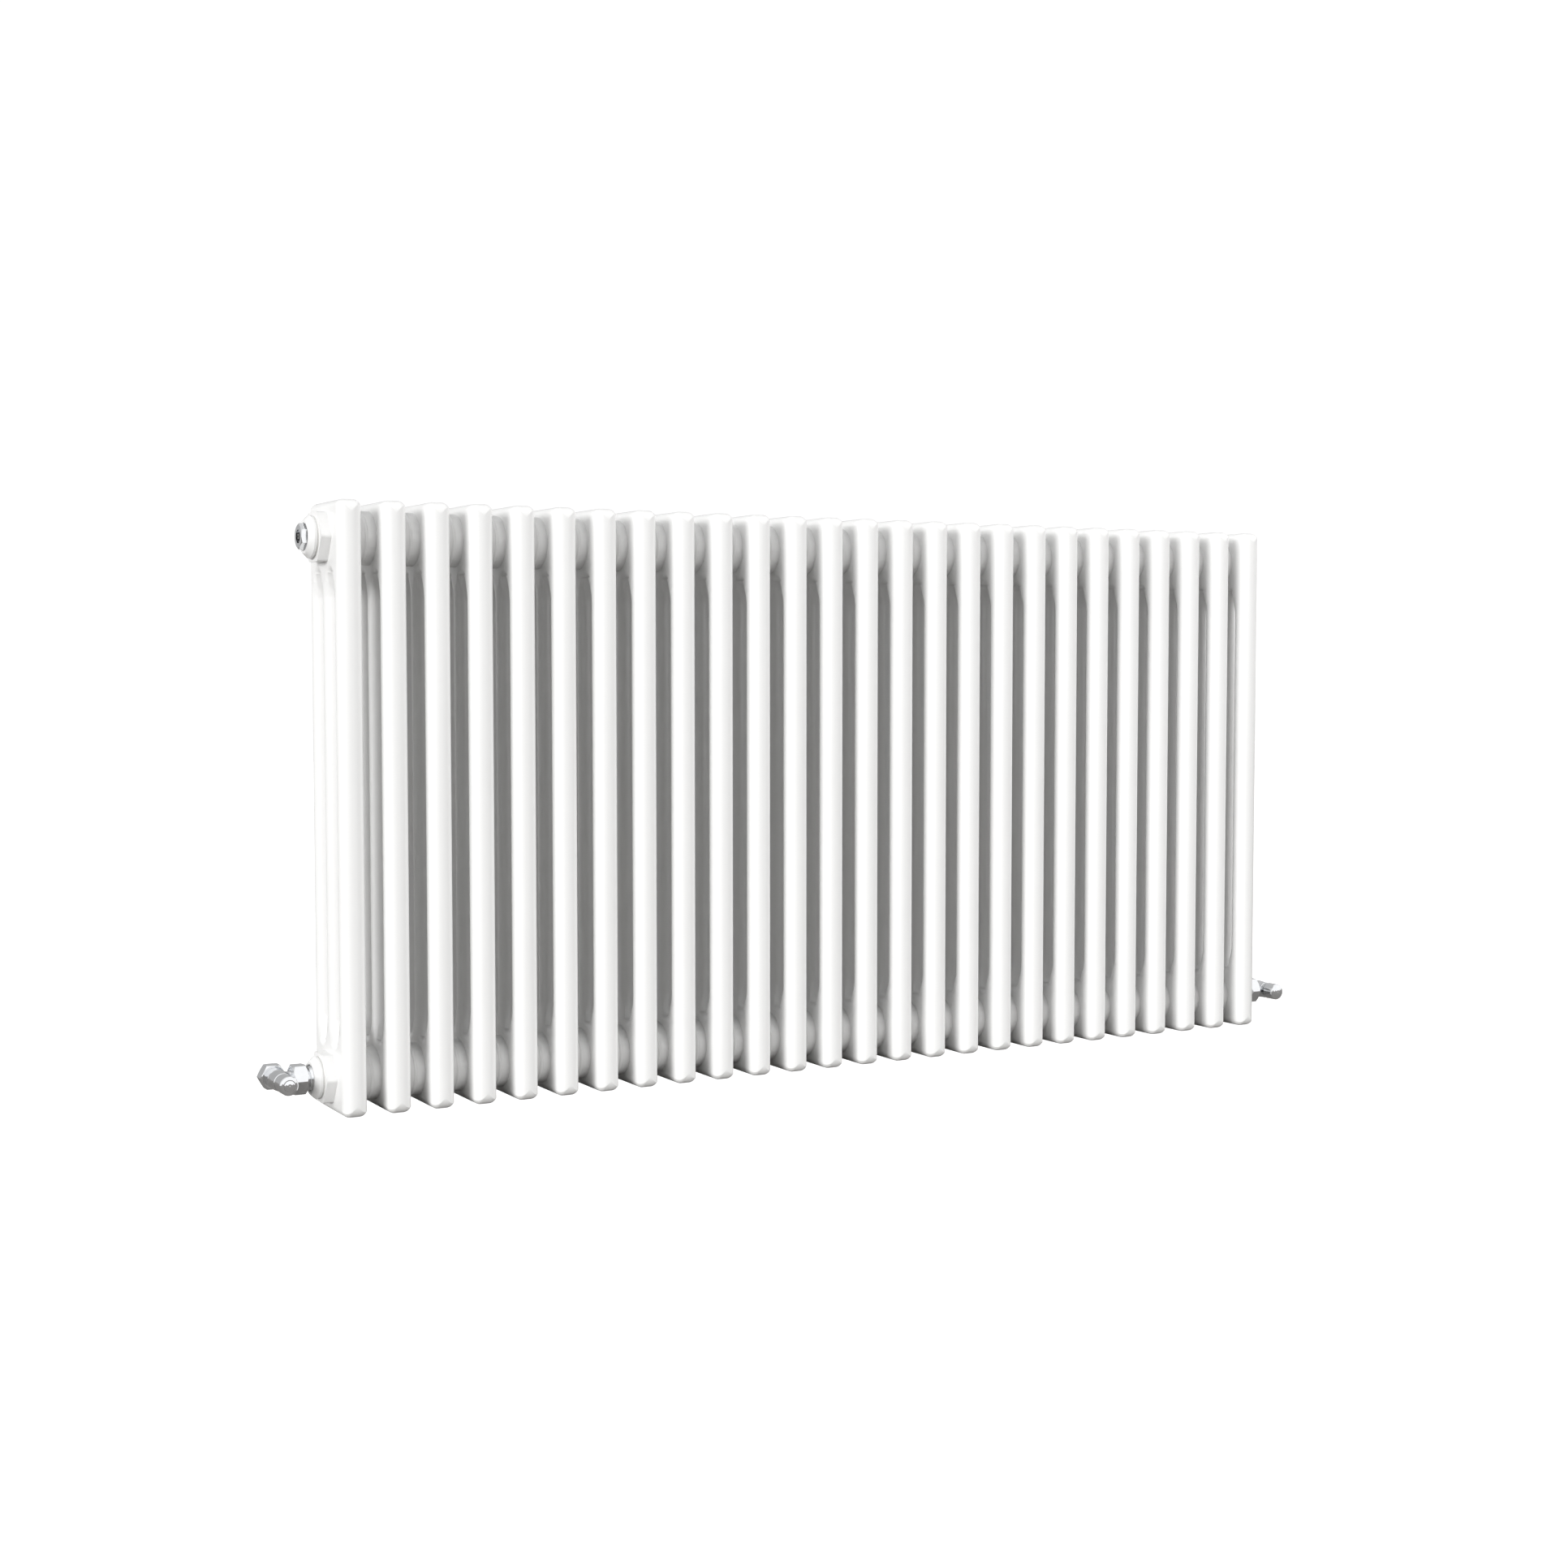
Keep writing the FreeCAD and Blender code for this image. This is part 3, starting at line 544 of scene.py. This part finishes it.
def valve_casting(side):
    """Points and faces of one cast body: the barrel and the flared outlet, merged in one mesh."""
    profile = casting_barrel()
    turns = 96
    barrel = spun(profile, turns)[..., (1, 0, 2)]
    outlet = casting_outlet()
    barrel_faces = grid_faces(turns, len(profile))
    outlet_faces = grid_faces(*outlet.shape[:2])
    points = np.concatenate([barrel.reshape(-1, 3), outlet.reshape(-1, 3)])
    faces = np.concatenate([barrel_faces, outlet_faces + barrel.size // 3])
    return at_valve(points, side), faces


def face_outwards(piece):
    """Turns the faces of closed shells outwards."""
    edit = bmesh.new()
    edit.from_mesh(piece.data)
    bmesh.ops.recalc_face_normals(edit, faces=edit.faces)
    edit.to_mesh(piece.data)
    edit.free()


# ---------------------------------------------------------------- operators

class RADIATOR_OT_sections(bpy.types.Operator):
    """Paint the sections and the reducing bushes"""
    bl_idname = "radiator.sections"
    bl_label = "Paint sections"

    def execute(self, context):
        bushes = [name for name in frame["nodes"] if name.startswith("reducing_bush_")]
        dress(SECTIONS + bushes, "white_powder_coat")
        return {"FINISHED"}


class RADIATOR_OT_necks(bpy.types.Operator):
    """Add the necks where header legs become round tubes"""
    bl_idname = "radiator.necks"
    bl_label = "Tube necks"

    def execute(self, context):
        points, faces = tube_necks(context.scene.radiator_looks)
        piece = mesh_piece("tube_necks", points, faces, material("white_powder_coat"), "radiator")
        face_outwards(piece)
        return {"FINISHED"}


class RADIATOR_OT_beads(bpy.types.Operator):
    """Add the weld beads round the hubs"""
    bl_idname = "radiator.beads"
    bl_label = "Weld beads"

    def execute(self, context):
        points, faces = weld_beads(context.scene.radiator_looks)
        piece = mesh_piece("hub_weld_beads", points, faces, material("white_powder_coat"), "radiator")
        face_outwards(piece)
        return {"FINISHED"}


class RADIATOR_OT_castings(bpy.types.Operator):
    """Replace the plain valve bodies with blended castings"""
    bl_idname = "radiator.castings"
    bl_label = "Valve castings"

    def execute(self, context):
        for valve, side in zip(VALVES, (-1, 1)):
            points, faces = valve_casting(side)
            piece = mesh_piece(valve + "_valve_casting", points, faces, material("chrome"), "radiator")
            face_outwards(piece)
            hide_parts(valve + "_valve_body")
        return {"FINISHED"}


class RADIATOR_OT_fittings(bpy.types.Operator):
    """Finish the chromed fittings, the brass, the screws and the seals"""
    bl_idname = "radiator.fittings"
    bl_label = "Finish fittings"

    def execute(self, context):
        slot_of = {part["node"]: part["material_slot"] for part in frame["record"]["subparts"]}
        # the bleed screw's finish holds painted shade of the vent plug's bore, over its nickel plate
        slot_of["bleed_screw"] = "plated_brass_and_bore_shade"
        for node, slot in slot_of.items():
            if slot != "white_powder_coat":
                dress([node], slot)
        return {"FINISHED"}


class RADIATOR_OT_studio(bpy.types.Operator):
    """Set up the floor, the lights and the camera"""
    bl_idname = "radiator.studio"
    bl_label = "Studio"

    def execute(self, context):
        studio = context.scene.radiator_studio
        add_floor()
        add_lights(studio)
        add_camera(studio)
        return {"FINISHED"}


def flat_sheet(name, z, finish):
    """A level square, FLOOR_SIZE to each side of the middle."""
    edge = np.array([-FLOOR_SIZE, FLOOR_SIZE])
    x, y = np.meshgrid(edge, edge, indexing="ij")
    points = np.stack([x, y, np.full_like(x, z, dtype=float)], axis=2)
    sheet = mesh_piece(name, points, grid_faces(2, 2, False, False), finish, None)
    return sheet


def add_floor():
    """The pale floor, and a grey card over it that only bounced light and reflections meet."""
    floor = flat_sheet("studio_floor", -FLOOR_DROP, studio_floor())
    floor.visible_diffuse = False
    floor.visible_glossy = False
    finish = Finish("grey_card")
    finish.done({"Base Color": (0.28, 0.272, 0.262, 1), "Roughness": 0.9})
    card = flat_sheet("reflection_card", CARD_Z, finish.material)
    for ray in ("camera", "shadow", "transmission", "volume_scatter"):
        setattr(card, "visible_" + ray, False)


def soft_sun(name, azimuth, elevation, strength, width):
    """A far, wide light; its angles are in degrees, and azimuth 0 shines on the front."""
    data = bpy.data.lights.new(name, "SUN")
    data.energy = strength
    data.angle = math.radians(width)
    lamp = bpy.data.objects.new(name, data)
    a = math.radians(azimuth)
    e = math.radians(elevation)
    towards = Vector((math.sin(a) * math.cos(e), -math.cos(a) * math.cos(e), math.sin(e)))
    lamp.rotation_mode = "QUATERNION"
    lamp.rotation_quaternion = towards.to_track_quat("Z", "Y")
    lamp.visible_glossy = False
    bpy.context.scene.collection.objects.link(lamp)


# name, azimuth, elevation, width (degrees), strength, and the setting that scales it
SUNS = (
    ("key_left", -65, 12, 24, 2.6, "key"),
    ("key_half_left", -50, 20, 24, 0.6, "key"),
    ("front", -20, 30, 40, 0.14, "front"),
    ("front_right", 12, 15, 24, 0.79, "front"),
    ("fill_right", 75, 20, 24, 2.3, "fill"),
    ("overhead", -72, 60, 40, 0.8, "overhead"),
    ("rear_left", -150, 20, 30, 0.9, "rear"),
    ("rear_right", 150, 20, 30, 0.9, "rear"),
)


def add_lights(studio):
    """The soft suns, in a surround that lights nothing.

    Seen directly the surround is white.  In reflections it has the surround setting's brightness in
    front, and falls to 0.4 of that towards the wall.
    """
    world = bpy.data.worlds.new("studio")
    world.use_nodes = True
    bpy.context.scene.world = world
    nodes = world.node_tree.nodes
    links = world.node_tree.links
    background = nodes["Background"]
    background.inputs["Color"].default_value = (1, 1, 1, 1)
    path = nodes.new("ShaderNodeLightPath")
    place = nodes.new("ShaderNodeTexCoord")
    axes = nodes.new("ShaderNodeSeparateXYZ")
    links.new(place.outputs["Generated"], axes.inputs["Vector"])
    towards_wall = nodes.new("ShaderNodeMapRange")
    for socket, value in (("From Min", 0.1), ("From Max", 0.8), ("To Min", studio.surround),
                          ("To Max", 0.4 * studio.surround)):
        towards_wall.inputs[socket].default_value = value
    links.new(axes.outputs["Y"], towards_wall.inputs["Value"])
    shine = nodes.new("ShaderNodeMath")
    shine.operation = "MULTIPLY"
    links.new(path.outputs["Is Glossy Ray"], shine.inputs[0])
    links.new(towards_wall.outputs["Result"], shine.inputs[1])
    seen = nodes.new("ShaderNodeMix")
    links.new(path.outputs["Is Camera Ray"], seen.inputs["Factor"])
    links.new(shine.outputs["Value"], seen.inputs["A"])
    seen.inputs["B"].default_value = 1.05
    links.new(seen.outputs["Result"], background.inputs["Strength"])
    for name, azimuth, elevation, width, strength, setting in SUNS:
        soft_sun(name, azimuth, elevation, strength * getattr(studio, setting), width)
    bpy.context.scene.view_settings.view_transform = "Standard"


def add_camera(studio):
    """A level camera on its target from the studio's angle and distance."""
    data = bpy.data.cameras.new("camera")
    data.lens = studio.lens
    data.sensor_width = 36
    data.clip_end = 100
    camera = bpy.data.objects.new("camera", data)
    flat = math.cos(studio.elevation)
    back = Vector((math.sin(studio.azimuth) * flat, -math.cos(studio.azimuth) * flat,
                   math.sin(studio.elevation)))
    camera.location = Vector(studio.target) + back * studio.distance
    camera.rotation_mode = "QUATERNION"
    camera.rotation_quaternion = (-back).to_track_quat("-Z", "Y")
    bpy.context.scene.collection.objects.link(camera)
    bpy.context.scene.camera = camera


class RADIATOR_PT_panel(bpy.types.Panel):
    """Lists the pieces and the settings"""
    bl_idname = "RADIATOR_PT_panel"
    bl_label = "Column radiator"
    bl_space_type = "VIEW_3D"
    bl_region_type = "UI"
    bl_category = "Radiator"

    def draw(self, context):
        for step in STEPS:
            self.layout.operator(step.bl_idname)
        for group in (context.scene.radiator_looks, context.scene.radiator_studio):
            box = self.layout.box()
            for key in group.__annotations__:
                box.prop(group, key)


STEPS = (RADIATOR_OT_sections, RADIATOR_OT_necks, RADIATOR_OT_beads, RADIATOR_OT_castings,
         RADIATOR_OT_fittings, RADIATOR_OT_studio)
CLASSES = (RadiatorLooks, RadiatorStudio, *STEPS, RADIATOR_PT_panel)


def register():
    for cls in CLASSES:
        bpy.utils.register_class(cls)
    bpy.types.Scene.radiator_looks = bpy.props.PointerProperty(type=RadiatorLooks)
    bpy.types.Scene.radiator_studio = bpy.props.PointerProperty(type=RadiatorStudio)


def unregister():
    del bpy.types.Scene.radiator_studio
    del bpy.types.Scene.radiator_looks
    for cls in reversed(CLASSES):
        bpy.utils.unregister_class(cls)


def main():
    register()
    bpy.ops.radiator.sections()
    bpy.ops.radiator.necks()
    bpy.ops.radiator.beads()
    bpy.ops.radiator.castings()
    bpy.ops.radiator.fittings()
    bpy.ops.radiator.studio()


if __name__ == "__main__":
    main()
